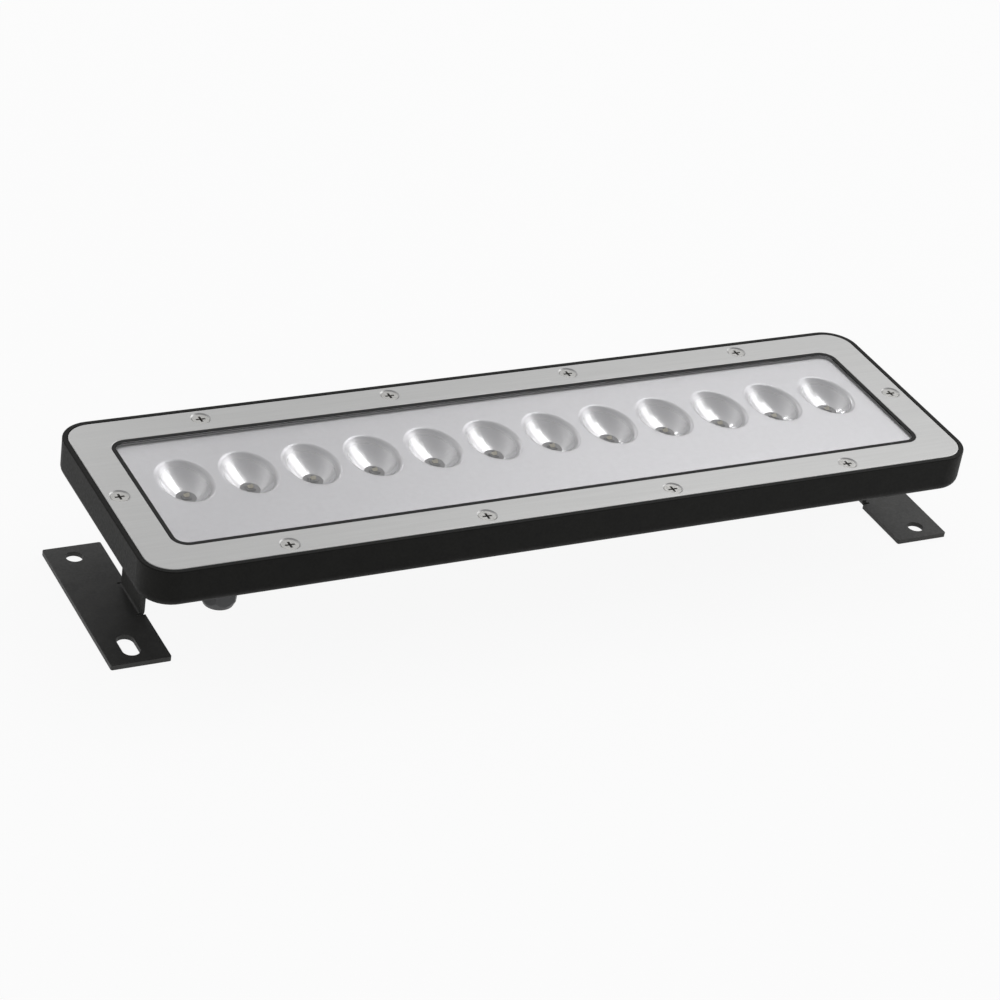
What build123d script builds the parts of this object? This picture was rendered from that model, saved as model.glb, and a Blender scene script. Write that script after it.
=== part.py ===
# Wall washer light: a shallow sealed lamp head with one row of LEDs, tilting on two bent steel brackets.
# X runs along the lamp, +Z points out of the lit face, and Z = 0 is the surface that the brackets bolt to.
# All sizes are in millimetres.
import math
import os

from build123d import *

# LED row
led_count = 12
led_pitch = 26.3
led_end_margin = 18.55  # last LED axis to the end of the lit opening
led_row_shift = 3.5  # LED row, from the middle of the lamp
led_body_side = 3.5
led_body_height = 0.8
led_body_chamfer = 0.3
dome_radius = 1.35
dome_skirt = 0.15

# Reflector plate with an oval dish round each LED, longer on the side that throws the light
cup_web = 5.5  # flat left between two cups
cup_length = 30.0  # across the lamp
cup_shift = 3.0  # middle of the rim, from the LED
cup_base_width = 8.0
cup_base_length = 9.0
cup_depth = 5.9
cup_half_growth = 0.37  # height at which a dish has half of its growth, as a share of its depth
cup_wall = 0.8
cup_rim_round = 1.8
reflector_thickness = 2.0
reflector_clearance = 0.3  # to the gasket round it
glass_gap = 0.1  # reflector to glass

# LED board and the pad under it
led_board_width = 24.0
led_board_margin = 7.4  # last LED axis to the end of the board
led_board_thickness = 1.6
led_board_corner = 2.0
thermal_pad_thickness = 0.4
thermal_pad_margin = 0.5
board_screw_radius = 1.5
board_screw_length = 5.0
board_screw_head_radius = 2.75
board_screw_head_height = 1.8
board_screw_gap_count = 2  # one screw in every second gap between LEDs
pan_head_crown = 0.5  # flat top of a pan head, as a share of its radius
pan_head_bulge = 0.12  # sag of its shoulder, as a share of its height

# Window: the glass lies on the reflector, and a rubber ring holds the edge of both
opening_width = 72.4
opening_corner = 5.0
glass_thickness = 2.0
glass_edge = 0.3
gasket_lip = 0.8  # over the edge of the glass
gasket_wall = 0.8  # beside the edge of the glass
gasket_flange = 4.0  # out under the bezel
seat_ledge = 1.7  # housing under the edge of the glass and the reflector
gasket_top = 0.3
gasket_clearance = 0.05

# Bezel and its countersunk screws
bezel_band = 14.2
bezel_corner = 11.0
bezel_thickness = 3.0
bezel_clearance = 0.2
bezel_edge = 0.4
long_side_screws = 4
corner_screw_inset = 56.0  # first long-side screw, from the end of the bezel
bezel_screw_inset = 5.8  # screw axis, from the nearest edge of the bezel
bezel_screw_radius = 2.0
bezel_screw_length = 10.0
bezel_screw_head_radius = 3.5
bezel_screw_head_rim = 0.15
bezel_screw_recess = 0.4
countersink_angle = 90
countersink_clearance = 0.05
bezel_hole_clearance = 0.25
cross_length = 4.0
cross_width = 0.95
cross_depth = 1.5
cross_taper = 8  # degrees
thread_clearance = 0.05
hole_end_gap = 0.6

# Housing
rim_width = 2.0
rim_edge = 0.4
floor_thickness = 2.5
pedestal_height = 3.2
pedestal_margin = 0.5
housing_edge = 4.0
core_outer_wall = 5.0
core_inner_wall = 3.5
core_roof = 2.5
core_corner = 3.0
core_boss = 7.0  # half the solid length left round each bezel screw
core_end_margin = 6.0

# Driver board beside the LED board
driver_length = 150.0
driver_width = 17.0
driver_thickness = 1.6
driver_corner = 1.5
driver_shift = -35.0  # middle of the board along X
driver_screw_inset = 4.0
driver_screw_radius = 1.25
driver_screw_length = 4.0
driver_screw_head_radius = 2.3
driver_screw_head_height = 1.4
standoff_radius = 2.8
standoff_height = 1.5
inductor_side = 9.0
inductor_height = 3.8
inductor_corner = 1.6
capacitor_radius = 3.0
capacitor_height = 4.0
capacitor_foot_side = 6.4
capacitor_foot_height = 0.7
chip_length = 5.0
chip_width = 4.0
chip_height = 1.5
chip_lead_length = 1.0
chip_lead_width = 0.45
chip_lead_height = 0.5
chip_lead_pitch = 1.27
chip_leads = 4
terminal_length = 10.0
terminal_width = 8.0
terminal_height = 4.0
terminal_pitch = 5.0
terminal_screw_radius = 1.5
terminal_wire_radius = 1.1
terminal_recess = 1.0
terminal_wire_depth = 5.0
terminal_inset = 14.0  # middle of the block, from the left end of the board
driver_row = ("chip", "inductor", "chip", "inductor", "capacitor", "capacitor", "capacitor", "chip")

# Leads from the driver board to the LED board
lead_radius = 0.6
lead_bend = 1.5
lead_rise = 1.6
lead_inset = 2.0  # from the edge of each board
lead_gap = 4.0
lead_end_inset = 15.8  # middle of the two leads, from the right end of the driver board

# Cable gland in the floor
gland_inset = 41.7  # from the left end of the housing
gland_thread_radius = 6.0
gland_hex = 13.6  # across flats
gland_body_height = 5.0
gland_cap_height = 15.5
gland_cap_edge = 4.0
gland_cap_mouth = 6.0
gland_cap_floor = 4.5
gland_tube_radius = 5.7
gland_seal_radius = 4.6
gland_entry_radius = 3.4
gland_cable_radius = 2.75
gland_clearance = 0.1
gland_end_gap = 2.0
gland_washer_thickness = 1.5
gland_washer_radius = 6.9
gland_nut_height = 3.0
gland_thread_end = 1.0  # thread past the lock nut

# Brackets, bent from strip
steel_thickness = 2.0
bend_radius = 0.8
strip_width = 24.0
strip_length = 80.6
strip_corner = 0.8
ear_inset = 17.7  # inner face of the ear, from the end of the housing
ear_width = 21.0
ear_straight = 14.0
ear_top_radius = 8.5
relief_width = 1.0
relief_margin = 0.6
fixing_inset = 10.7  # hole line, from the outer edge of the strip
fixing_hole_inset = 7.6  # round hole, from its end of the strip
fixing_slot_inset = 11.2  # middle of the slot, from the other end
fixing_hole_radius = 3.5
fixing_slot_length = 13.5

# Pivots
pivot_height = 24.0
pivot_drop = 10.0  # pivot axis below the housing
pivot_bolt_radius = 3.0
pivot_fit = 0.08  # radial clearance on the bolt
pivot_play = 0.05  # side clearance at the ear
friction_washer_thickness = 0.8
friction_washer_radius = 8.0
washer_thickness = 1.0
washer_radius = 6.0
bolt_head_radius = 5.25
bolt_head_top_radius = 3.2
bolt_head_height = 3.2
bolt_head_bulge = 0.6
bolt_socket = 4.0  # across flats
bolt_socket_depth = 1.8
bolt_protrusion = 1.5
nut_hex = 10.0  # across flats
nut_hex_height = 4.5
nut_collar_height = 1.5
nut_collar_radius = 4.5
block_width = 13.0
block_radius = 9.0
block_root_round = 2.0
flange_length = 46.0
flange_thickness = 4.0
flange_corner = 2.5
block_screw_spacing = 36.0
block_screw_radius = 2.0
block_screw_length = 8.0
block_screw_head_radius = 3.5
block_screw_head_height = 2.4
block_boss_radius = 4.5
block_boss_height = 4.0

tolerance = 0.01  # for choosing edges by their place

# Heights, from the bolted surface up to the lit face
housing_base = pivot_height + pivot_drop
floor_top = housing_base + floor_thickness
pedestal_top = floor_top + pedestal_height
led_board_under = pedestal_top + thermal_pad_thickness
led_board_top = led_board_under + led_board_thickness
led_body_top = led_board_top + led_body_height
reflector_top = led_board_top + cup_depth
reflector_under = reflector_top - reflector_thickness
glass_under = reflector_top + glass_gap
glass_top = glass_under + glass_thickness
face_height = glass_top + gasket_top
bezel_under = face_height - bezel_thickness
gasket_seat = reflector_under
housing_height = face_height - housing_base
driver_under = floor_top + standoff_height
driver_top = driver_under + driver_thickness

# Outlines, from the lit opening outwards: length, width and corner radius of each
led_row = [(i - (led_count - 1) / 2) * led_pitch for i in range(led_count)]
opening_length = led_row[-1] - led_row[0] + 2 * led_end_margin
opening = (opening_length, opening_width, opening_corner)


def grown(outline, margin):
    length, width, corner = outline
    return (length + 2 * margin, width + 2 * margin, corner + margin)


glass_outline = grown(opening, gasket_lip)
window = grown(glass_outline, gasket_wall)
groove = grown(window, gasket_flange)
bezel_outline = (window[0] + 2 * bezel_band, window[1] + 2 * bezel_band, bezel_corner)
pocket = grown(bezel_outline, bezel_clearance)
housing_outline = grown(pocket, rim_width)
reflector_outline = grown(glass_outline, -reflector_clearance)
cavity = grown(glass_outline, -seat_ledge)
led_board_length = led_row[-1] - led_row[0] + 2 * led_board_margin
led_board_outline = (led_board_length, led_board_width, led_board_corner)
thermal_pad_outline = grown(led_board_outline, -thermal_pad_margin)
pedestal_outline = grown(led_board_outline, pedestal_margin)
housing_end = housing_outline[0] / 2
housing_side = housing_outline[1] / 2

# LED and screw places
led_points = [(x, led_row_shift) for x in led_row]
screw_span = bezel_outline[0] - 2 * corner_screw_inset
screw_pitch = screw_span / (long_side_screws - 1)
screw_row = [i * screw_pitch - screw_span / 2 for i in range(long_side_screws)]
screw_side = bezel_outline[1] / 2 - bezel_screw_inset
screw_end = bezel_outline[0] / 2 - bezel_screw_inset
bezel_screw_points = [(x, y) for x in screw_row for y in (-screw_side, screw_side)]
bezel_screw_points += [(-screw_end, 0), (screw_end, 0)]
screw_gaps = led_row[1 : led_count - 2 : board_screw_gap_count]
board_screw_points = [(x + led_pitch / 2, led_row_shift) for x in screw_gaps]

# The free lane beside the LED pedestal, where the driver and the gland sit
lane_y = -(pedestal_outline[1] / 2 + cavity[1] / 2) / 2
driver_screw_reach = driver_length / 2 - driver_screw_inset
driver_screw_spread = driver_width / 2 - driver_screw_inset
driver_screw_points = [
    (driver_shift + end * driver_screw_reach, lane_y + side * driver_screw_spread)
    for end in (-1, 1)
    for side in (-1, 1)
]
terminal_x = driver_shift - driver_length / 2 + terminal_inset
leads_x = driver_shift + driver_length / 2 - lead_end_inset
driver_pitch = (leads_x - terminal_x) / (len(driver_row) + 1)


def places_of(kind):
    stations = [terminal_x + (i + 1) * driver_pitch for i in range(len(driver_row))]
    return [(x, lane_y) for x, name in zip(stations, driver_row) if name == kind]


gland_x = gland_inset - housing_end
gland_body_under = housing_base - gland_washer_thickness - gland_body_height
gland_tip = gland_body_under - gland_cap_height

# Pivot stack along X on the right-hand side, from the ear inwards and outwards
ear_inner = housing_end - ear_inset
ear_outer = ear_inner + steel_thickness
friction_washer_outer = ear_inner - pivot_play
block_outer = friction_washer_outer - friction_washer_thickness
block_inner = block_outer - block_width
block_middle = (block_outer + block_inner) / 2
inner_washer_end = block_inner - washer_thickness
nut_end = inner_washer_end - nut_hex_height - nut_collar_height
bolt_end = nut_end - bolt_protrusion
outer_washer_inner = ear_outer + pivot_play
bolt_head_seat = outer_washer_inner + washer_thickness
bolt_head_top = bolt_head_seat + bolt_head_height
strip_middle = ear_inner + strip_width / 2
fixing_line = ear_inner + strip_width - fixing_inset
pivot_axis = Axis((0, 0, pivot_height), (1, 0, 0))
pivot_bore = pivot_bolt_radius + pivot_fit
block_screw_points = [(block_middle, side * block_screw_spacing / 2) for side in (-1, 1)]

# Housing: a tray with a rim, a land for the bezel, a seat for the gasket and the reflector, and a raised bed
# for the LED board
with BuildPart() as housing:
    with BuildSketch(Plane.XY.offset(housing_base)):
        RectangleRounded(*housing_outline)
    extrude(amount=housing_height)
    fillet(housing.faces().sort_by(Axis.Z)[0].edges(), housing_edge)
    fillet(housing.faces().sort_by(Axis.Z)[-1].edges(), rim_edge)
    with BuildSketch(Plane.XY.offset(face_height)):
        RectangleRounded(*pocket)
    extrude(amount=-bezel_thickness, mode=Mode.SUBTRACT)
    with BuildSketch(Plane.XY.offset(bezel_under)):
        RectangleRounded(*groove)
    extrude(amount=gasket_seat - bezel_under, mode=Mode.SUBTRACT)
    with BuildSketch(Plane.XY.offset(gasket_seat)):
        RectangleRounded(*cavity)
    extrude(amount=floor_top - gasket_seat, mode=Mode.SUBTRACT)
    with BuildSketch(Plane.XY.offset(floor_top)):
        with Locations((0, led_row_shift)):
            RectangleRounded(*pedestal_outline)
    extrude(amount=pedestal_height)
    with BuildSketch(Plane.XY.offset(floor_top)):
        with Locations(*driver_screw_points):
            Circle(standoff_radius)
    extrude(amount=standoff_height)
    with BuildSketch(Plane.XY.offset(floor_top)):
        with PolarLocations(0, 2):
            with Locations(*block_screw_points):
                Circle(block_boss_radius)
    extrude(amount=block_boss_height)
    # Cored pockets under the rim, between the bezel screws
    core_width = housing_side - cavity[1] / 2 - core_outer_wall - core_inner_wall
    core_side = housing_side - core_outer_wall - core_width / 2
    core_end = housing_end - core_outer_wall - core_width / 2
    end_core_length = cavity[1] / 2 - core_end_margin - core_boss
    end_core_middle = core_boss + end_core_length / 2
    core_row = [(left + right) / 2 for left, right in zip(screw_row, screw_row[1:])]
    with BuildSketch(Plane.XY.offset(housing_base)):
        with Locations(*[(x, y) for x in core_row for y in (-core_side, core_side)]):
            RectangleRounded(screw_pitch - 2 * core_boss, core_width, core_corner)
        end_cores = [(x, y) for x in (-core_end, core_end) for y in (-end_core_middle, end_core_middle)]
        with Locations(*end_cores):
            RectangleRounded(core_width, end_core_length, core_corner)
    extrude(amount=gasket_seat - core_roof - housing_base, mode=Mode.SUBTRACT)
    # Tapped holes for the bezel, the LED board, the driver and the pivot blocks, and the gland's hole
    screw_hole_depth = bezel_screw_length + bezel_screw_recess - bezel_thickness + hole_end_gap
    with Locations(*[(x, y, bezel_under) for x, y in bezel_screw_points]):
        Hole(bezel_screw_radius + thread_clearance, screw_hole_depth)
    board_hole_depth = board_screw_length - led_board_thickness - thermal_pad_thickness + hole_end_gap
    with Locations(*[(x, y, pedestal_top) for x, y in board_screw_points]):
        Hole(board_screw_radius + thread_clearance, board_hole_depth)
    driver_hole_depth = driver_screw_length - driver_thickness + hole_end_gap
    with Locations(*[(x, y, driver_under) for x, y in driver_screw_points]):
        Hole(driver_screw_radius + thread_clearance, driver_hole_depth)
    block_hole_depth = block_screw_length - flange_thickness + hole_end_gap
    with BuildSketch(Plane.XY.offset(housing_base)):
        with PolarLocations(0, 2):
            with Locations(*block_screw_points):
                Circle(block_screw_radius + thread_clearance)
    extrude(amount=block_hole_depth, mode=Mode.SUBTRACT)
    with Locations((gland_x, lane_y, floor_top)):
        Hole(gland_thread_radius + gland_clearance)

# Bezel
with BuildPart() as bezel:
    with BuildSketch(Plane.XY.offset(bezel_under)):
        RectangleRounded(*bezel_outline)
        RectangleRounded(*window, mode=Mode.SUBTRACT)
    extrude(amount=bezel_thickness)
    fillet(bezel.faces().sort_by(Axis.Z)[-1].edges(), bezel_edge)
    with Locations(*[(x, y, face_height) for x, y in bezel_screw_points]):
        CounterSinkHole(
            bezel_screw_radius + bezel_hole_clearance,
            bezel_screw_head_radius + bezel_screw_head_rim + bezel_screw_recess + countersink_clearance,
            counter_sink_angle=countersink_angle,
        )

# Countersunk screw with a cross recess, its head a little below the face
with BuildPart() as bezel_screw:
    head_top = face_height - bezel_screw_recess
    head_cone = bezel_screw_head_radius - bezel_screw_radius
    with BuildSketch(Plane.XZ):
        with BuildLine():
            Polyline(
                (0, head_top),
                (bezel_screw_head_radius, head_top),
                (bezel_screw_head_radius, head_top - bezel_screw_head_rim),
                (bezel_screw_radius, head_top - bezel_screw_head_rim - head_cone),
                (bezel_screw_radius, head_top - bezel_screw_length),
                (0, head_top - bezel_screw_length),
                close=True,
            )
        make_face()
    revolve(axis=Axis.Z)
    with BuildSketch(Plane.XY.offset(head_top)):
        Rectangle(cross_length, cross_width)
        Rectangle(cross_width, cross_length)
    extrude(amount=-cross_depth, mode=Mode.SUBTRACT, taper=cross_taper)

with BuildPart() as bezel_screws:
    with Locations(*bezel_screw_points):
        add(bezel_screw.part)

# Rubber ring: a lip over the glass, a wall beside it and the reflector, and a flange clamped under the bezel
with BuildPart() as window_gasket:
    with BuildSketch(Plane.XY.offset(gasket_seat)):
        RectangleRounded(*grown(groove, -gasket_clearance))
        RectangleRounded(*glass_outline, mode=Mode.SUBTRACT)
    extrude(amount=bezel_under - gasket_seat)
    with BuildSketch(Plane.XY.offset(bezel_under)):
        RectangleRounded(*grown(window, -gasket_clearance))
        RectangleRounded(*glass_outline, mode=Mode.SUBTRACT)
    extrude(amount=glass_top - bezel_under)
    with BuildSketch(Plane.XY.offset(glass_top)):
        RectangleRounded(*grown(window, -gasket_clearance))
        RectangleRounded(*opening, mode=Mode.SUBTRACT)
    extrude(amount=gasket_top)

# Glass
with BuildPart() as window_glass:
    with BuildSketch(Plane.XY.offset(glass_under)):
        RectangleRounded(*grown(glass_outline, -gasket_clearance))
    extrude(amount=glass_thickness)
    chamfer(window_glass.faces().sort_by(Axis.Z)[-1].edges(), glass_edge)
    chamfer(window_glass.faces().sort_by(Axis.Z)[0].edges(), glass_edge)

# Dish of the reflector: ovals that grow from its foot to its rim, half of the growth low down, so that the
# wall steepens on the way up
cup_width = led_pitch - cup_web


def dish(wall, top):
    rise = top - led_board_top
    with BuildPart() as form:
        for height, growth in ((0, 0), (cup_half_growth, 0.5), (1, 1)):
            width = cup_base_width + growth * (cup_width - cup_base_width)
            length = cup_base_length + growth * (cup_length - cup_base_length)
            with BuildSketch(Plane.XY.offset(led_board_top + height * rise)):
                with Locations((0, growth * cup_shift)):
                    Ellipse(width / 2 + wall, length / 2 + wall)
        loft()
    return form


dish_outside = dish(cup_wall, reflector_under)
dish_inside = dish(0, reflector_top)

with BuildPart() as reflector_plate:
    with BuildSketch(Plane.XY.offset(reflector_under)):
        RectangleRounded(*reflector_outline)
    extrude(amount=reflector_thickness)
    with Locations(*led_points):
        add(dish_outside.part)
    with Locations(*led_points):
        add(dish_inside.part, mode=Mode.SUBTRACT)
    dish_rims = [wire.edges() for wire in reflector_plate.faces().sort_by(Axis.Z)[-1].inner_wires()]
    fillet([edge for rim in dish_rims for edge in rim], cup_rim_round)

# LED board, pad, LEDs and screws
with BuildPart() as led_board:
    with BuildSketch(Plane.XY.offset(led_board_under)):
        with Locations((0, led_row_shift)):
            RectangleRounded(*led_board_outline)
        with Locations(*board_screw_points):
            Circle(board_screw_radius + thread_clearance, mode=Mode.SUBTRACT)
    extrude(amount=led_board_thickness)

with BuildPart() as thermal_pad:
    with BuildSketch(Plane.XY.offset(pedestal_top)):
        with Locations((0, led_row_shift)):
            RectangleRounded(*thermal_pad_outline)
        with Locations(*board_screw_points):
            Circle(board_screw_radius + thread_clearance, mode=Mode.SUBTRACT)
    extrude(amount=thermal_pad_thickness)

with BuildPart() as led_body:
    with BuildSketch(Plane.XY.offset(led_board_top)):
        Rectangle(led_body_side, led_body_side)
    extrude(amount=led_body_height)
    chamfer(led_body.edges().filter_by(Axis.Z), led_body_chamfer)

with BuildPart() as led_packages:
    with Locations(*led_points):
        add(led_body.part)

with BuildPart() as led_dome:
    with BuildSketch(Plane.XZ):
        with BuildLine():
            dome_spring = led_body_top + dome_skirt
            dome_top = dome_spring + dome_radius
            Polyline((0, dome_top), (0, led_body_top), (dome_radius, led_body_top))
            Line((dome_radius, led_body_top), (dome_radius, dome_spring))
            RadiusArc((dome_radius, dome_spring), (0, dome_top), -dome_radius)
        make_face()
    revolve(axis=Axis.Z)

with BuildPart() as led_domes:
    with Locations(*led_points):
        add(led_dome.part)


def pan_screw(radius, length, head_radius, head_height):
    crown = head_radius * pan_head_crown
    shoulder = head_height / 2
    bulge = head_height * pan_head_bulge
    with BuildPart() as form:
        with BuildSketch(Plane.XZ):
            with BuildLine():
                Polyline((0, head_height), (0, -length), (radius, -length), (radius, 0), (head_radius, 0))
                Line((head_radius, 0), (head_radius, shoulder))
                SagittaArc((head_radius, shoulder), (crown, head_height), -bulge)
                Line((crown, head_height), (0, head_height))
            make_face()
        revolve(axis=Axis.Z)
    return form


board_screw = pan_screw(
    board_screw_radius,
    board_screw_length,
    board_screw_head_radius,
    board_screw_head_height,
)

with BuildPart() as led_board_screws:
    with Locations(*[(x, y, led_board_top) for x, y in board_screw_points]):
        add(board_screw.part)

# Driver board and what is soldered to it
with BuildPart() as driver_board:
    with BuildSketch(Plane.XY.offset(driver_under)):
        with Locations((driver_shift, lane_y)):
            RectangleRounded(driver_length, driver_width, driver_corner)
        with Locations(*driver_screw_points):
            Circle(driver_screw_radius + thread_clearance, mode=Mode.SUBTRACT)
    extrude(amount=driver_thickness)

driver_screw = pan_screw(
    driver_screw_radius,
    driver_screw_length,
    driver_screw_head_radius,
    driver_screw_head_height,
)

with BuildPart() as driver_screws:
    with Locations(*[(x, y, driver_top) for x, y in driver_screw_points]):
        add(driver_screw.part)

with BuildPart() as driver_inductors:
    with BuildSketch(Plane.XY.offset(driver_top)):
        with Locations(*places_of("inductor")):
            RectangleRounded(inductor_side, inductor_side, inductor_corner)
    extrude(amount=inductor_height)

with BuildPart() as driver_capacitors:
    capacitor_points = places_of("capacitor")
    with BuildSketch(Plane.XY.offset(driver_top)):
        with Locations(*capacitor_points):
            Rectangle(capacitor_foot_side, capacitor_foot_side)
    extrude(amount=capacitor_foot_height)
    with BuildSketch(Plane.XY.offset(driver_top)):
        with Locations(*capacitor_points):
            Circle(capacitor_radius)
    extrude(amount=capacitor_height)

with BuildPart() as driver_chips:
    chip_points = places_of("chip")
    with BuildSketch(Plane.XY.offset(driver_top)):
        with Locations(*chip_points):
            Rectangle(chip_length, chip_width)
    extrude(amount=chip_height)
    with BuildSketch(Plane.XY.offset(driver_top)):
        with Locations(*chip_points):
            with GridLocations(chip_lead_pitch, 0, chip_leads, 1):
                Rectangle(chip_lead_width, chip_width + 2 * chip_lead_length)
    extrude(amount=chip_lead_height)

with BuildPart() as terminal_block:
    terminal_middle = (terminal_x, lane_y)
    terminal_front = terminal_x - terminal_width / 2
    with BuildSketch(Plane.XY.offset(driver_top)):
        with Locations(terminal_middle):
            Rectangle(terminal_width, terminal_length)
    extrude(amount=terminal_height)
    with BuildSketch(Plane.XY.offset(driver_top + terminal_height)):
        with Locations(terminal_middle):
            with GridLocations(0, terminal_pitch, 1, 2):
                Circle(terminal_screw_radius)
    extrude(amount=-terminal_recess, mode=Mode.SUBTRACT)
    with BuildSketch(Plane.YZ.offset(terminal_front)):
        with Locations((lane_y, driver_top + terminal_height / 2)):
            with GridLocations(terminal_pitch, 0, 2, 1):
                Circle(terminal_wire_radius)
    extrude(amount=terminal_wire_depth, mode=Mode.SUBTRACT)

# Two leads that rise from the driver board and come down on the LED board
with BuildPart() as led_leads:
    lead_start = lane_y + driver_width / 2 - lead_inset
    lead_stop = led_row_shift - led_board_width / 2 + lead_inset
    lead_height = led_board_top + lead_rise
    for lead_x in (leads_x - lead_gap / 2, leads_x + lead_gap / 2):
        with BuildLine(Plane.YZ.offset(lead_x)) as lead_route:
            FilletPolyline(
                (lead_start, driver_top),
                (lead_start, lead_height),
                (lead_stop, lead_height),
                (lead_stop, led_board_top),
                radius=lead_bend,
            )
        with BuildSketch(Plane.XY.offset(driver_top)):
            with Locations((lead_x, lead_start)):
                Circle(lead_radius)
        sweep(path=lead_route.line)

# Cable gland: body through the floor, sealing washer, lock nut inside, cap nut and seal below
gland_place = (gland_x, lane_y)
gland_cap_top = gland_body_under - gland_clearance
gland_seal_bottom = gland_tip + gland_cap_floor
gland_tube_end = gland_seal_bottom + gland_end_gap
gland_thread_top = floor_top + gland_nut_height + gland_thread_end

with BuildPart() as gland_body:
    with BuildSketch(Plane.XY.offset(gland_body_under)):
        with Locations(gland_place):
            RegularPolygon(gland_hex / 2, 6, major_radius=False)
    extrude(amount=gland_body_height)
    with BuildSketch(Plane.XY.offset(gland_body_under)):
        with Locations(gland_place):
            Circle(gland_thread_radius)
    extrude(amount=gland_thread_top - gland_body_under)
    with BuildSketch(Plane.XY.offset(gland_tube_end)):
        with Locations(gland_place):
            Circle(gland_tube_radius)
    extrude(amount=gland_body_under - gland_tube_end)
    with BuildSketch(Plane.XY.offset(gland_tube_end)):
        with Locations(gland_place):
            Circle(gland_seal_radius + gland_clearance)
    extrude(amount=gland_body_under - gland_tube_end, mode=Mode.SUBTRACT)
    with Locations((*gland_place, gland_thread_top)):
        Hole(gland_entry_radius)

with BuildPart() as gland_washer:
    with BuildSketch(Plane.XY.offset(housing_base - gland_washer_thickness)):
        with Locations(gland_place):
            Circle(gland_washer_radius)
            Circle(gland_thread_radius + gland_clearance, mode=Mode.SUBTRACT)
    extrude(amount=gland_washer_thickness)

with BuildPart() as gland_lock_nut:
    with BuildSketch(Plane.XY.offset(floor_top)):
        with Locations(gland_place):
            RegularPolygon(gland_hex / 2, 6, major_radius=False)
            Circle(gland_thread_radius + gland_clearance, mode=Mode.SUBTRACT)
    extrude(amount=gland_nut_height)

with BuildPart() as gland_seal:
    with BuildSketch(Plane.XY.offset(gland_seal_bottom)):
        with Locations(gland_place):
            Circle(gland_seal_radius)
            Circle(gland_cable_radius, mode=Mode.SUBTRACT)
    extrude(amount=gland_body_under - gland_seal_bottom)

with BuildPart() as gland_cap_nut:
    cap_corner = gland_hex / 2 / math.cos(math.pi / 6)
    with BuildSketch(Plane.XY.offset(gland_tip)):
        with Locations(gland_place):
            RegularPolygon(gland_hex / 2, 6, major_radius=False)
    extrude(amount=gland_cap_top - gland_tip)
    with BuildSketch(Plane((*gland_place, 0), x_dir=(1, 0, 0), z_dir=(0, -1, 0))):
        with BuildLine():
            Polyline(
                (gland_cap_mouth, gland_tip),
                (0, gland_tip),
                (0, gland_cap_top),
                (cap_corner, gland_cap_top),
                (cap_corner, gland_tip + gland_cap_edge),
                close=True,
            )
        make_face()
    revolve(axis=Axis((*gland_place, 0), (0, 0, 1)), mode=Mode.INTERSECT)
    with Locations((*gland_place, gland_cap_top)):
        Hole(gland_tube_radius + gland_clearance, gland_cap_top - gland_seal_bottom)
    with Locations((*gland_place, gland_cap_top)):
        Hole(gland_entry_radius)

# Pivot block for the right-hand end: a rounded lug under a flange that is screwed to the floor
with BuildPart() as pivot_block:
    with BuildSketch(Plane.YZ.offset(block_inner)):
        with Locations((0, pivot_height)):
            Circle(block_radius)
        with Locations((0, pivot_height + pivot_drop / 2)):
            Rectangle(2 * block_radius, pivot_drop)
        with Locations((0, housing_base - flange_thickness / 2)):
            Rectangle(flange_length, flange_thickness)
    extrude(amount=block_width)
    flange_under = housing_base - flange_thickness
    along_x = pivot_block.edges().filter_by(Axis.X)
    roots = along_x.filter_by_position(Axis.Z, flange_under - tolerance, flange_under + tolerance)
    fillet(roots.sort_by(Axis.Y)[1:-1], block_root_round)
    corners = pivot_block.edges().filter_by(Axis.Z).filter_by_position(Axis.Z, flange_under, housing_base)
    fillet(corners.group_by(Axis.Y)[0] + corners.group_by(Axis.Y)[-1], flange_corner)
    with BuildSketch(Plane.YZ.offset(block_inner)):
        with Locations((0, pivot_height)):
            Circle(pivot_bore)
    extrude(amount=block_width, mode=Mode.SUBTRACT)
    with Locations(*[(x, y, housing_base) for x, y in block_screw_points]):
        Hole(block_screw_radius + thread_clearance, flange_thickness)

block_screw = pan_screw(
    block_screw_radius,
    block_screw_length,
    block_screw_head_radius,
    block_screw_head_height,
)

with BuildPart() as pivot_block_screws:
    with PolarLocations(0, 2):
        with Locations(*[Location((x, y, flange_under), (180, 0, 0)) for x, y in block_screw_points]):
            add(block_screw.part)


def ring_on_pivot(start, thickness, outer, inner):
    with BuildPart() as ring:
        with BuildSketch(Plane.YZ.offset(start)):
            with Locations((0, pivot_height)):
                Circle(outer)
                Circle(inner, mode=Mode.SUBTRACT)
        extrude(amount=thickness)
    return ring


friction_washer = ring_on_pivot(block_outer, friction_washer_thickness, friction_washer_radius, pivot_bore)
inner_washer = ring_on_pivot(inner_washer_end, washer_thickness, washer_radius, pivot_bore)
outer_washer = ring_on_pivot(outer_washer_inner, washer_thickness, washer_radius, pivot_bore)

with BuildPart() as friction_washers:
    with PolarLocations(0, 2):
        add(friction_washer.part)

with BuildPart() as pivot_inner_washers:
    with PolarLocations(0, 2):
        add(inner_washer.part)

with BuildPart() as pivot_outer_washers:
    with PolarLocations(0, 2):
        add(outer_washer.part)

# Lock nut: a hexagon with the collar of its nylon ring on the far side
with BuildPart() as pivot_nut:
    with BuildSketch(Plane.YZ.offset(inner_washer_end)):
        with Locations((0, pivot_height)):
            RegularPolygon(nut_hex / 2, 6, major_radius=False)
    extrude(amount=-nut_hex_height)
    with BuildSketch(Plane.YZ.offset(inner_washer_end - nut_hex_height)):
        with Locations((0, pivot_height)):
            Circle(nut_collar_radius)
    extrude(amount=-nut_collar_height)
    with BuildSketch(Plane.YZ.offset(inner_washer_end)):
        with Locations((0, pivot_height)):
            Circle(pivot_bolt_radius + thread_clearance)
    extrude(amount=-nut_hex_height - nut_collar_height, mode=Mode.SUBTRACT)

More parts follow.
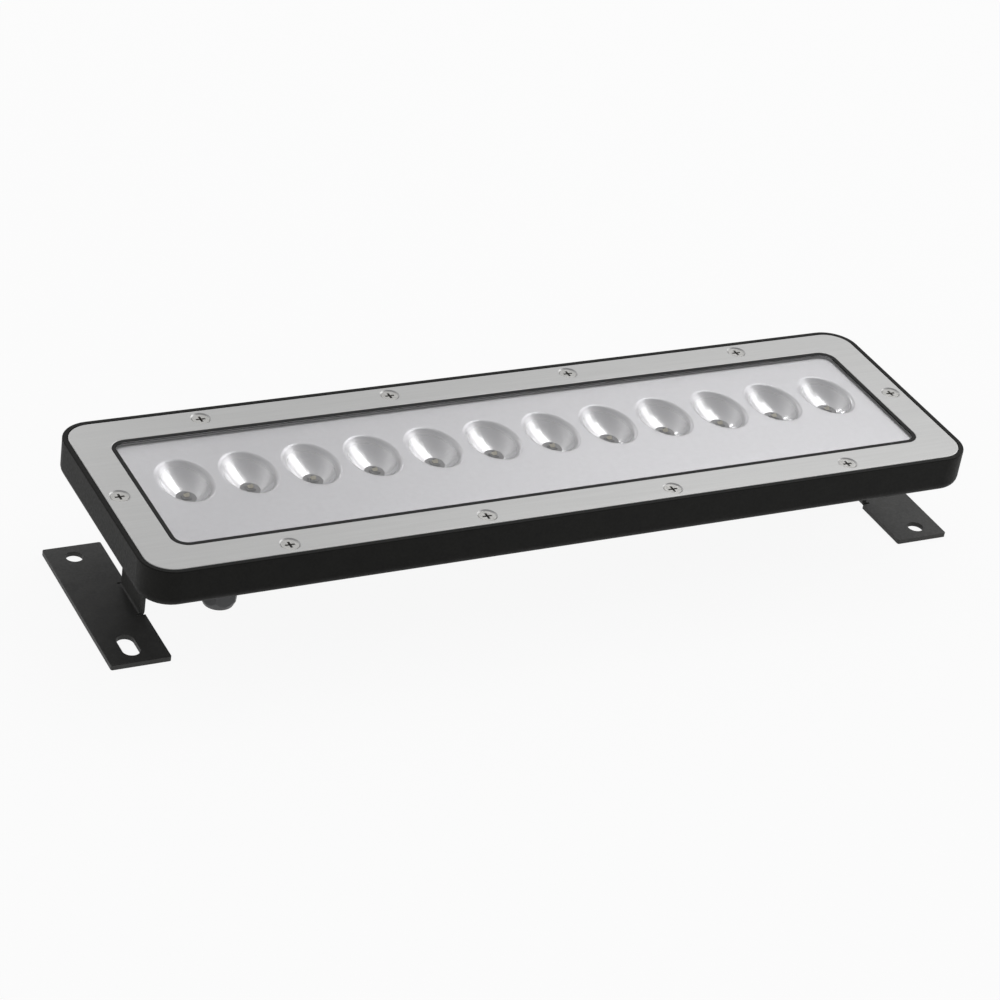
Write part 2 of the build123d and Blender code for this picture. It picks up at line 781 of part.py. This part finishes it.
with BuildPart() as pivot_nuts:
    with PolarLocations(0, 2):
        add(pivot_nut.part)

# Pivot bolt with a low domed head and a hexagon socket
with BuildPart() as pivot_bolt:
    with BuildSketch(Plane.XZ):
        with BuildLine():
            Polyline(
                (bolt_head_top, pivot_height),
                (bolt_end, pivot_height),
                (bolt_end, pivot_height + pivot_bolt_radius),
                (bolt_head_seat, pivot_height + pivot_bolt_radius),
                (bolt_head_seat, pivot_height + bolt_head_radius),
            )
            SagittaArc(
                (bolt_head_seat, pivot_height + bolt_head_radius),
                (bolt_head_top, pivot_height + bolt_head_top_radius),
                bolt_head_bulge,
            )
            Line((bolt_head_top, pivot_height + bolt_head_top_radius), (bolt_head_top, pivot_height))
        make_face()
    revolve(axis=pivot_axis)
    with BuildSketch(Plane.YZ.offset(bolt_head_top)):
        with Locations((0, pivot_height)):
            RegularPolygon(bolt_socket / 2, 6, major_radius=False)
    extrude(amount=-bolt_socket_depth, mode=Mode.SUBTRACT)

# Bracket for the right-hand end: a strip with a round hole and a slot, its ear bent up at the inner edge
with BuildPart() as bracket:
    with BuildSketch():
        with Locations((strip_middle, 0)):
            RectangleRounded(strip_width, strip_length, strip_corner)
        relief_depth = bend_radius + steel_thickness + relief_margin
        relief_middle = ear_inner + relief_depth / 2
        relief_side = (ear_width + relief_width) / 2
        with Locations((relief_middle, -relief_side), (relief_middle, relief_side)):
            Rectangle(relief_depth, relief_width, mode=Mode.SUBTRACT)
        with Locations((fixing_line, fixing_hole_inset - strip_length / 2)):
            Circle(fixing_hole_radius, mode=Mode.SUBTRACT)
        with Locations((fixing_line, strip_length / 2 - fixing_slot_inset)):
            SlotOverall(fixing_slot_length, 2 * fixing_hole_radius, rotation=90, mode=Mode.SUBTRACT)
    extrude(amount=steel_thickness)
    with BuildSketch(Plane.YZ.offset(ear_inner)):
        with Locations((0, pivot_height)):
            Circle(ear_top_radius)
        with Locations((0, ear_straight / 2)):
            Rectangle(ear_width, ear_straight)
        make_hull()
    extrude(amount=steel_thickness)
    along_y = bracket.edges().filter_by(Axis.Y)
    inside_bend = along_y.sort_by_distance((ear_outer, 0, steel_thickness))[0]
    outside_bend = along_y.sort_by_distance((ear_inner, 0, 0))[0]
    fillet(inside_bend, bend_radius)
    fillet(outside_bend, bend_radius + steel_thickness)
    with BuildSketch(Plane.YZ.offset(ear_inner)):
        with Locations((0, pivot_height)):
            Circle(pivot_bore)
    extrude(amount=steel_thickness, mode=Mode.SUBTRACT)

pieces = {
    "housing": housing,
    "bezel": bezel,
    "bezel_screws": bezel_screws,
    "window_gasket": window_gasket,
    "window_glass": window_glass,
    "reflector_plate": reflector_plate,
    "led_board": led_board,
    "thermal_pad": thermal_pad,
    "led_packages": led_packages,
    "led_domes": led_domes,
    "led_board_screws": led_board_screws,
    "driver_board": driver_board,
    "driver_screws": driver_screws,
    "driver_inductors": driver_inductors,
    "driver_capacitors": driver_capacitors,
    "driver_chips": driver_chips,
    "terminal_block": terminal_block,
    "led_leads": led_leads,
    "gland_body": gland_body,
    "gland_washer": gland_washer,
    "gland_lock_nut": gland_lock_nut,
    "gland_seal": gland_seal,
    "gland_cap_nut": gland_cap_nut,
    "pivot_block_screws": pivot_block_screws,
    "friction_washers": friction_washers,
    "pivot_inner_washers": pivot_inner_washers,
    "pivot_outer_washers": pivot_outer_washers,
    "pivot_nuts": pivot_nuts,
}

# The left-hand block, bolt and bracket are the right-hand ones turned half round
for side, turn in (("right", 0), ("left", 180)):
    for name, form in (("pivot_block", pivot_block), ("pivot_bolt", pivot_bolt), ("bracket", bracket)):
        with BuildPart() as turned:
            add(form.part, rotation=(0, 0, turn))
        pieces[f"{side}_{name}"] = turned

os.makedirs("parts", exist_ok=True)
for name, piece in pieces.items():
    piece.part.label = name
    export_step(piece.part, f"parts/{name}.step")
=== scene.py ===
import bpy
import math
from mathutils import Matrix, Vector


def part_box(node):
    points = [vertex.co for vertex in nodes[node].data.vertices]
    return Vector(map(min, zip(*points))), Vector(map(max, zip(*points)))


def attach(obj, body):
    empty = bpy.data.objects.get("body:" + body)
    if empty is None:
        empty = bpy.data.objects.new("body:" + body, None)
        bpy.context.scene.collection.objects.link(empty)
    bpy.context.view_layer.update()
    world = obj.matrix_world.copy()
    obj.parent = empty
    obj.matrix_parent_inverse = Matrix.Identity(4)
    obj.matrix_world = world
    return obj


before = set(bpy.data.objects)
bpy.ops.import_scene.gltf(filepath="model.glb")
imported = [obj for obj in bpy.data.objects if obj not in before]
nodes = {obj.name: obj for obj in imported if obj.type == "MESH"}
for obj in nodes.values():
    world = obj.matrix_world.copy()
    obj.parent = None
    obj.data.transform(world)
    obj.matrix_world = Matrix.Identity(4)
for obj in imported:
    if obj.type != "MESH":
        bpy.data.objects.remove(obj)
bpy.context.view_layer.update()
scene = bpy.context.scene
mm = 0.001
print("frame loaded:", len(nodes), "nodes")


# small helpers for the material nodes

noiseLow, noiseHigh = 0.3, 0.7  # nearly all of a noise lies between these
noiseRoughness = 0.55
softDetail, crispDetail = 2.0, 3.0
colourA, colourB, mixedColour = 6, 7, 2  # the Mix node's sockets for colours


def newMaterial(name):
    mat = bpy.data.materials.new(name)
    mat.use_nodes = True
    tree = mat.node_tree
    shader = tree.nodes["Principled BSDF"]
    return mat, tree, shader


def addNode(tree, kind, **settings):
    node = tree.nodes.new(kind)
    for key, value in settings.items():
        setattr(node, key, value)
    return node


def setInputs(node, values):
    for key, value in values.items():
        node.inputs[key].default_value = value


def objectNoise(tree, scale, detail, stretch=(1, 1, 1)):
    # noise on Object coordinates, so it stays put on the piece
    place = addNode(tree, "ShaderNodeTexCoord")
    mapping = addNode(tree, "ShaderNodeMapping")
    setInputs(mapping, {"Scale": stretch})
    noise = addNode(tree, "ShaderNodeTexNoise")
    setInputs(noise, {"Scale": scale, "Detail": detail, "Roughness": noiseRoughness})
    tree.links.new(place.outputs["Object"], mapping.inputs["Vector"])
    tree.links.new(mapping.outputs["Vector"], noise.inputs["Vector"])
    return noise.outputs["Fac"]


def rangeOf(tree, source, low, high, fromLow=noiseLow, fromHigh=noiseHigh):
    node = addNode(tree, "ShaderNodeMapRange")
    setInputs(node, {"From Min": fromLow, "From Max": fromHigh, "To Min": low, "To Max": high})
    tree.links.new(source, node.inputs["Value"])
    return node.outputs["Result"]


def shadeOf(tree, source, dark, light, fromLow=noiseLow, fromHigh=noiseHigh):
    ramp = addNode(tree, "ShaderNodeValToRGB")
    ramp.color_ramp.elements[0].position = fromLow
    ramp.color_ramp.elements[0].color = (*dark, 1)
    ramp.color_ramp.elements[1].position = fromHigh
    ramp.color_ramp.elements[1].color = (*light, 1)
    tree.links.new(source, ramp.inputs["Fac"])
    return ramp.outputs["Color"]


def bumpOf(tree, shader, source, depth):
    bump = addNode(tree, "ShaderNodeBump")
    setInputs(bump, {"Strength": 1.0, "Distance": depth})
    tree.links.new(source, bump.inputs["Height"])
    tree.links.new(bump.outputs["Normal"], shader.inputs["Normal"])


def around(colour, spread):
    # a little darker and a little lighter than the colour
    return [c * (1 - spread) for c in colour], [min(1, c * (1 + spread)) for c in colour]


def grainFinish(tree, shader, finish, mottle, grain):
    # colour from one noise, roughness and bump from the other
    dark, light = around(finish["colour"], finish["spread"])
    tree.links.new(shadeOf(tree, mottle, dark, light), shader.inputs["Base Color"])
    tree.links.new(rangeOf(tree, grain, *finish["rough"]), shader.inputs["Roughness"])
    bumpOf(tree, shader, grain, finish["grainDepth"])


def mixSurface(tree, share, first, second):
    # the first shader, and the second one by its share
    mix = addNode(tree, "ShaderNodeMixShader")
    tree.links.new(share, mix.inputs["Fac"])
    tree.links.new(first, mix.inputs[1])
    tree.links.new(second, mix.inputs[2])
    tree.links.new(mix.outputs["Shader"], tree.nodes["Material Output"].inputs["Surface"])


def dress(material, *names):
    for name in names:
        piece = nodes[name]
        piece.data.materials.clear()
        piece.data.materials.append(material)


# black powder coat; noise scales are in waves per metre

powderCoat = {
    "peel": 160.0,
    "spread": 0.16,
    "grain": 900.0,
    "grainDepth": 0.030 * mm,
    "rough": (0.50, 0.62),
}
housingCoat = {**powderCoat, "colour": (0.0070, 0.0070, 0.0060), "shine": 0.14}
bracketCoat = {**powderCoat, "colour": (0.040, 0.040, 0.038), "shine": 0.42}


def makePowderCoat(name, coat):
    mat, tree, shader = newMaterial(name)
    grain = objectNoise(tree, coat["grain"], softDetail)
    peel = objectNoise(tree, coat["peel"], softDetail)
    grainFinish(tree, shader, coat, peel, grain)
    setInputs(shader, {"Specular IOR Level": coat["shine"]})
    return mat


dress(makePowderCoat("housingCoat", housingCoat), "housing", "left_pivot_block", "right_pivot_block")
dress(makePowderCoat("bracketCoat", bracketCoat), "left_bracket", "right_bracket")


# satin bezel with faint streaks along its length

bezelFinish = {
    "colour": (0.545, 0.545, 0.54),
    "spread": 0.03,
    "streaks": (30, 900, 30),
    "grain": 1400.0,
    "grainDepth": 0.012 * mm,
    "rough": (0.36, 0.46),
}


def makeSatinSilver():
    mat, tree, shader = newMaterial("satinSilver")
    streak = objectNoise(tree, 1.0, crispDetail, bezelFinish["streaks"])
    grain = objectNoise(tree, bezelFinish["grain"], softDetail)
    grainFinish(tree, shader, bezelFinish, streak, grain)
    setInputs(shader, {"Metallic": 1.0})
    return mat


dress(makeSatinSilver(), "bezel")


# stainless screws, nuts, washers and bolts

steelFinish = {
    "colour": (0.56, 0.555, 0.54),
    "spread": 0.06,
    "grain": 700.0,
    "grainDepth": 0.006 * mm,
    "rough": (0.20, 0.34),
}


def makeStainless():
    mat, tree, shader = newMaterial("stainless")
    grain = objectNoise(tree, steelFinish["grain"], crispDetail)
    grainFinish(tree, shader, steelFinish, grain, grain)
    setInputs(shader, {"Metallic": 1.0})
    return mat


stainless = makeStainless()
dress(stainless, "bezel_screws", "led_board_screws", "driver_screws", "pivot_block_screws", "pivot_nuts")
dress(stainless, "pivot_inner_washers", "pivot_outer_washers", "left_pivot_bolt", "right_pivot_bolt")


# rubber, plastics, boards and the small parts on them

plainFinish = {"spread": 0.10, "shine": 0.4}
plainFinishes = {
    "rubberBlack": {
        "colour": (0.020, 0.020, 0.020), "spread": 0.15, "shine": 0.25,
        "rough": (0.65, 0.80), "grain": 800.0, "grainDepth": 0.020 * mm,
        "pieces": ("window_gasket", "gland_washer", "gland_seal"),
    },
    "nylonGrey": {
        "colour": (0.090, 0.092, 0.094),
        "rough": (0.42, 0.55), "grain": 600.0, "grainDepth": 0.015 * mm,
        "pieces": ("gland_body", "gland_cap_nut", "gland_lock_nut"),
    },
    "fibreDark": {
        "colour": (0.05, 0.045, 0.04), "spread": 0.30,
        "rough": (0.70, 0.85), "grain": 1200.0, "grainDepth": 0.030 * mm,
        "pieces": ("friction_washers",),
    },
    # the LED board is mid grey, which darkens the floor of each dish around the LEDs
    "ledBoardGrey": {
        "colour": (0.24, 0.24, 0.24), "spread": 0.04,
        "rough": (0.35, 0.50), "grain": 500.0, "grainDepth": 0.008 * mm,
        "pieces": ("led_board",),
    },
    "maskGreen": {
        "colour": (0.02, 0.14, 0.06),
        "rough": (0.30, 0.45), "grain": 500.0, "grainDepth": 0.008 * mm,
        "pieces": ("driver_board",),
    },
    "padGrey": {
        "colour": (0.30, 0.32, 0.35),
        "rough": (0.70, 0.85), "grain": 700.0, "grainDepth": 0.020 * mm,
        "pieces": ("thermal_pad",),
    },
    # the LED packages are mid grey, which shows as a dark spot at the bottom of each dish
    "ledPackageGrey": {
        "colour": (0.24, 0.24, 0.235), "spread": 0.08,
        "rough": (0.40, 0.55), "grain": 1500.0, "grainDepth": 0.006 * mm,
        "pieces": ("led_packages",),
    },
    "ferriteGrey": {
        "colour": (0.06, 0.06, 0.065), "spread": 0.15,
        "rough": (0.60, 0.75), "grain": 900.0, "grainDepth": 0.020 * mm,
        "pieces": ("driver_inductors",),
    },
    "canMetal": {
        "colour": (0.62, 0.62, 0.63), "spread": 0.05,
        "rough": (0.25, 0.35), "grain": 600.0, "grainDepth": 0.006 * mm,
        "pieces": ("driver_capacitors",),
    },
    "chipBlack": {
        "colour": (0.02, 0.02, 0.022),
        "rough": (0.50, 0.62), "grain": 1200.0, "grainDepth": 0.010 * mm,
        "pieces": ("driver_chips",),
    },
    "terminalGreen": {
        "colour": (0.02, 0.20, 0.09),
        "rough": (0.40, 0.50), "grain": 500.0, "grainDepth": 0.010 * mm,
        "pieces": ("terminal_block",),
    },
    "leadRed": {
        "colour": (0.45, 0.02, 0.02),
        "rough": (0.35, 0.45), "grain": 400.0, "grainDepth": 0.008 * mm,
        "pieces": ("led_leads",),
    },
}


def makePlain(name, own):
    finish = {**plainFinish, **own}
    mat, tree, shader = newMaterial(name)
    grain = objectNoise(tree, finish["grain"], crispDetail)
    grainFinish(tree, shader, finish, grain, grain)
    setInputs(shader, {"Specular IOR Level": finish["shine"]})
    return mat


for finishName, plain in plainFinishes.items():
    dress(makePlain(finishName, plain), *plain["pieces"])


# flush window

windowGlass = {"tint": (0.991, 0.987, 0.994, 1), "ior": 1.45, "smear": 60.0, "rough": (0.0, 0.02)}


def makeWindowGlass():
    # clear pane; lamps shine straight through it on to the plate
    mat, tree, shader = newMaterial("windowGlass")
    smear = objectNoise(tree, windowGlass["smear"], softDetail)
    tree.links.new(rangeOf(tree, smear, *windowGlass["rough"]), shader.inputs["Roughness"])
    setInputs(shader, {"Base Color": windowGlass["tint"], "IOR": windowGlass["ior"]})
    setInputs(shader, {"Transmission Weight": 1.0})
    path = addNode(tree, "ShaderNodeLightPath")
    clear = addNode(tree, "ShaderNodeBsdfTransparent")
    mixSurface(tree, path.outputs["Is Shadow Ray"], shader.outputs["BSDF"], clear.outputs["BSDF"])
    return mat


dress(makeWindowGlass(), "window_glass")


# reflector plate with its dishes; depths are below the top of the plate

reflector = {
    "plate": (0.575, 0.575, 0.585),
    "spread": 0.025,
    "plateRough": 0.42,
    "dish": (0.70, 0.70, 0.705),
    "dishRough": 0.20,
    "dishFrom": 0.05 * mm,
    "dishFull": 2.4 * mm,
    "grain": 420.0,
    "grainDepth": 0.008 * mm,
}


def makeReflectorMetal():
    # satin plate, and bright metallised dishes wherever the surface drops below it
    mat, tree, shader = newMaterial("reflectorMetal")
    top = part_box("reflector_plate")[1].z
    place = addNode(tree, "ShaderNodeTexCoord")
    split = addNode(tree, "ShaderNodeSeparateXYZ")
    tree.links.new(place.outputs["Object"], split.inputs["Vector"])
    dishFull, dishFrom = top - reflector["dishFull"], top - reflector["dishFrom"]
    inDish = rangeOf(tree, split.outputs["Z"], 1.0, 0.0, dishFull, dishFrom)
    grain = objectNoise(tree, reflector["grain"], crispDetail)
    dark, light = around(reflector["plate"], reflector["spread"])
    mix = addNode(tree, "ShaderNodeMix", data_type="RGBA")
    tree.links.new(inDish, mix.inputs["Factor"])
    tree.links.new(shadeOf(tree, grain, dark, light), mix.inputs[colourA])
    setInputs(mix, {colourB: (*reflector["dish"], 1)})
    tree.links.new(mix.outputs[mixedColour], shader.inputs["Base Color"])
    rough = rangeOf(tree, inDish, reflector["plateRough"], reflector["dishRough"], 0.0, 1.0)
    tree.links.new(rough, shader.inputs["Roughness"])
    setInputs(shader, {"Metallic": 1.0})
    bumpOf(tree, shader, grain, reflector["grainDepth"])
    return mat


dress(makeReflectorMetal(), "reflector_plate")


# clear domes of the LEDs

ledDome = {"tint": (0.97, 0.95, 0.88, 1), "ior": 1.41, "haze": 900.0, "rough": (0.02, 0.08)}


def makeSilicone():
    mat, tree, shader = newMaterial("ledSilicone")
    haze = objectNoise(tree, ledDome["haze"], softDetail)
    tree.links.new(rangeOf(tree, haze, *ledDome["rough"]), shader.inputs["Roughness"])
    setInputs(shader, {"Base Color": ledDome["tint"], "IOR": ledDome["ior"]})
    setInputs(shader, {"Transmission Weight": 1.0})
    return mat


dress(makeSilicone(), "led_domes")
print("nodes dressed")


# pale dies inside the domes

ledDie = {"side": 1.7 * mm, "height": 0.14 * mm, "edge": 0.05 * mm, "edgeSteps": 2, "count": 12}
phosphor = {
    "colour": (0.60, 0.57, 0.47), "spread": 0.12,
    "rough": (0.55, 0.70), "grain": 2500.0, "grainDepth": 0.010 * mm,
}


def makeLedDies():
    low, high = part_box("led_domes")
    radius = (high.y - low.y) / 2
    pitch = (high.x - low.x - 2 * radius) / (ledDie["count"] - 1)
    bpy.ops.object.select_all(action="DESELECT")
    middle = low.z + ledDie["height"] / 2
    bpy.ops.mesh.primitive_cube_add(size=1, location=(low.x + radius, low.y + radius, middle))
    die = bpy.context.object
    die.scale = (ledDie["side"], ledDie["side"], ledDie["height"])
    bpy.ops.object.transform_apply(location=False, rotation=False, scale=True)
    bpy.ops.object.mode_set(mode="EDIT")
    bpy.ops.mesh.select_all(action="SELECT")
    bpy.ops.mesh.bevel(offset=ledDie["edge"], segments=ledDie["edgeSteps"])
    bpy.ops.object.mode_set(mode="OBJECT")
    dies = [die]
    for i in range(1, ledDie["count"]):
        copy = die.copy()
        copy.data = die.data.copy()
        copy.location.x += i * pitch
        scene.collection.objects.link(copy)
        dies.append(copy)
    for each in dies:
        each.select_set(True)
    bpy.context.view_layer.objects.active = die
    bpy.ops.object.join()
    bpy.ops.object.transform_apply(location=True, rotation=True, scale=True)
    die.name = "led_dies"
    die.data.materials.append(makePlain("phosphor", phosphor))
    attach(die, "lamp")


makeLedDies()
print("led dies placed")


# floor, light and camera

studio = {
    "floorSize": 80.0,
    "floorColour": (0.90, 0.90, 0.90, 1),
    "floorRough": 0.9,
    "ownLight": 0.92,
}


def makeFloor():
    # mostly white of its own where it is seen; the lit rest keeps the shadow
    bpy.ops.object.select_all(action="DESELECT")
    bpy.ops.mesh.primitive_plane_add(size=studio["floorSize"], location=(0, 0, 0))
    floor = bpy.context.object
    floor.name = "floor"
    mat, tree, shader = newMaterial("paleFloor")
    setInputs(shader, {"Base Color": studio["floorColour"], "Roughness": studio["floorRough"]})
    setInputs(shader, {"Specular IOR Level": 0.0})
    path = addNode(tree, "ShaderNodeLightPath")
    seen = addNode(tree, "ShaderNodeMath", operation="MAXIMUM")
    seenToo = addNode(tree, "ShaderNodeMath", operation="MAXIMUM")
    tree.links.new(path.outputs["Is Camera Ray"], seen.inputs[0])
    tree.links.new(path.outputs["Is Glossy Ray"], seen.inputs[1])
    tree.links.new(seen.outputs[0], seenToo.inputs[0])
    tree.links.new(path.outputs["Is Transmission Ray"], seenToo.inputs[1])
    share = addNode(tree, "ShaderNodeMath", operation="MULTIPLY")
    setInputs(share, {1: studio["ownLight"]})
    tree.links.new(seenToo.outputs[0], share.inputs[0])
    white = addNode(tree, "ShaderNodeEmission")
    mixSurface(tree, share.outputs[0], shader.outputs["BSDF"], white.outputs["Emission"])
    floor.data.materials.append(mat)


room = {
    "pale": (0.74, 0.74, 0.74),
    "dim": (0.36, 0.36, 0.365),
    "dimSide": (-0.214, -0.361, 0.906),
    "dimEnd": 0.26,  # cosines of the angle from that side
    "dimFull": 0.86,
    "window": (1.2, 1.2, 1.2),
    "windowSide": (0.863, 0.21, 0.46),
    "windowEnd": 0.88,
    "windowFull": 0.97,
}


def towards(tree, place, side):
    facing = addNode(tree, "ShaderNodeVectorMath", operation="DOT_PRODUCT")
    setInputs(facing, {1: side})
    tree.links.new(place.outputs["Generated"], facing.inputs[0])
    return facing.outputs["Value"]


def makeRoom():
    # one soft room for every ray: pale walls, dimmer overhead, a bright window to the right
    world = bpy.data.worlds.new("room")
    scene.world = world
    world.use_nodes = True
    tree = world.node_tree
    place = addNode(tree, "ShaderNodeTexCoord")
    overhead = towards(tree, place, room["dimSide"])
    walls = rangeOf(tree, overhead, 1, 0, room["dimEnd"], room["dimFull"])
    shade = shadeOf(tree, walls, room["dim"], room["pale"], 0, 1)
    sideways = towards(tree, place, room["windowSide"])
    opening = rangeOf(tree, sideways, 0, 1, room["windowEnd"], room["windowFull"])
    glow = shadeOf(tree, opening, (0, 0, 0), room["window"], 0, 1)
    both = addNode(tree, "ShaderNodeMix", data_type="RGBA", blend_type="ADD")
    setInputs(both, {"Factor": 1})
    tree.links.new(shade, both.inputs[colourA])
    tree.links.new(glow, both.inputs[colourB])
    tree.links.new(both.outputs[mixedColour], tree.nodes["Background"].inputs["Color"])


lampAim = (0, 0, 0.05)
lamps = {
    "overheadSoftbox": {"place": (0.74, 0.62, 1.15), "size": (0.6, 0.5), "watts": 1.8},
    "farSoftbox": {"place": (0.10, 1.25, 0.60), "size": (0.14, 0.14), "watts": 0.42},
}


def makeLamps():
    for name, spec in lamps.items():
        data = bpy.data.lights.new(name, "AREA")
        data.shape = "RECTANGLE"
        data.size, data.size_y = spec["size"]
        data.energy = spec["watts"]
        lamp = bpy.data.objects.new(name, data)
        scene.collection.objects.link(lamp)
        lamp.location = spec["place"]
        aim = Vector(lampAim) - Vector(spec["place"])
        lamp.rotation_euler = aim.to_track_quat("-Z", "Y").to_euler()


camera = {
    "aim": (-31.4 * mm, -37.5 * mm, 50.0 * mm),
    "distance": 1153.2 * mm,
    "azimuth": -30.63,
    "elevation": 31.50,
    "roll": 9.05,
    "lens": 107.4,
    "sensor": 36.0,
    "near": 10 * mm,
    "far": 200.0,  # past the corners of the floor
}


def makeCamera():
    data = bpy.data.cameras.new("photoCamera")
    data.lens = camera["lens"]
    data.sensor_width = camera["sensor"]
    data.clip_start = camera["near"]
    data.clip_end = camera["far"]
    body = bpy.data.objects.new("photoCamera", data)
    scene.collection.objects.link(body)
    turn = Matrix.Rotation(math.radians(camera["azimuth"]), 4, "Z")
    turn = turn @ Matrix.Rotation(math.radians(90 - camera["elevation"]), 4, "X")
    turn = turn @ Matrix.Rotation(math.radians(camera["roll"]), 4, "Z")
    back = turn.to_3x3() @ Vector((0, 0, 1))
    body.matrix_world = Matrix.Translation(Vector(camera["aim"]) + back * camera["distance"]) @ turn
    scene.camera = body


makeFloor()
makeRoom()
makeLamps()
makeCamera()
scene.view_settings.view_transform = "Standard"
print("stage set")
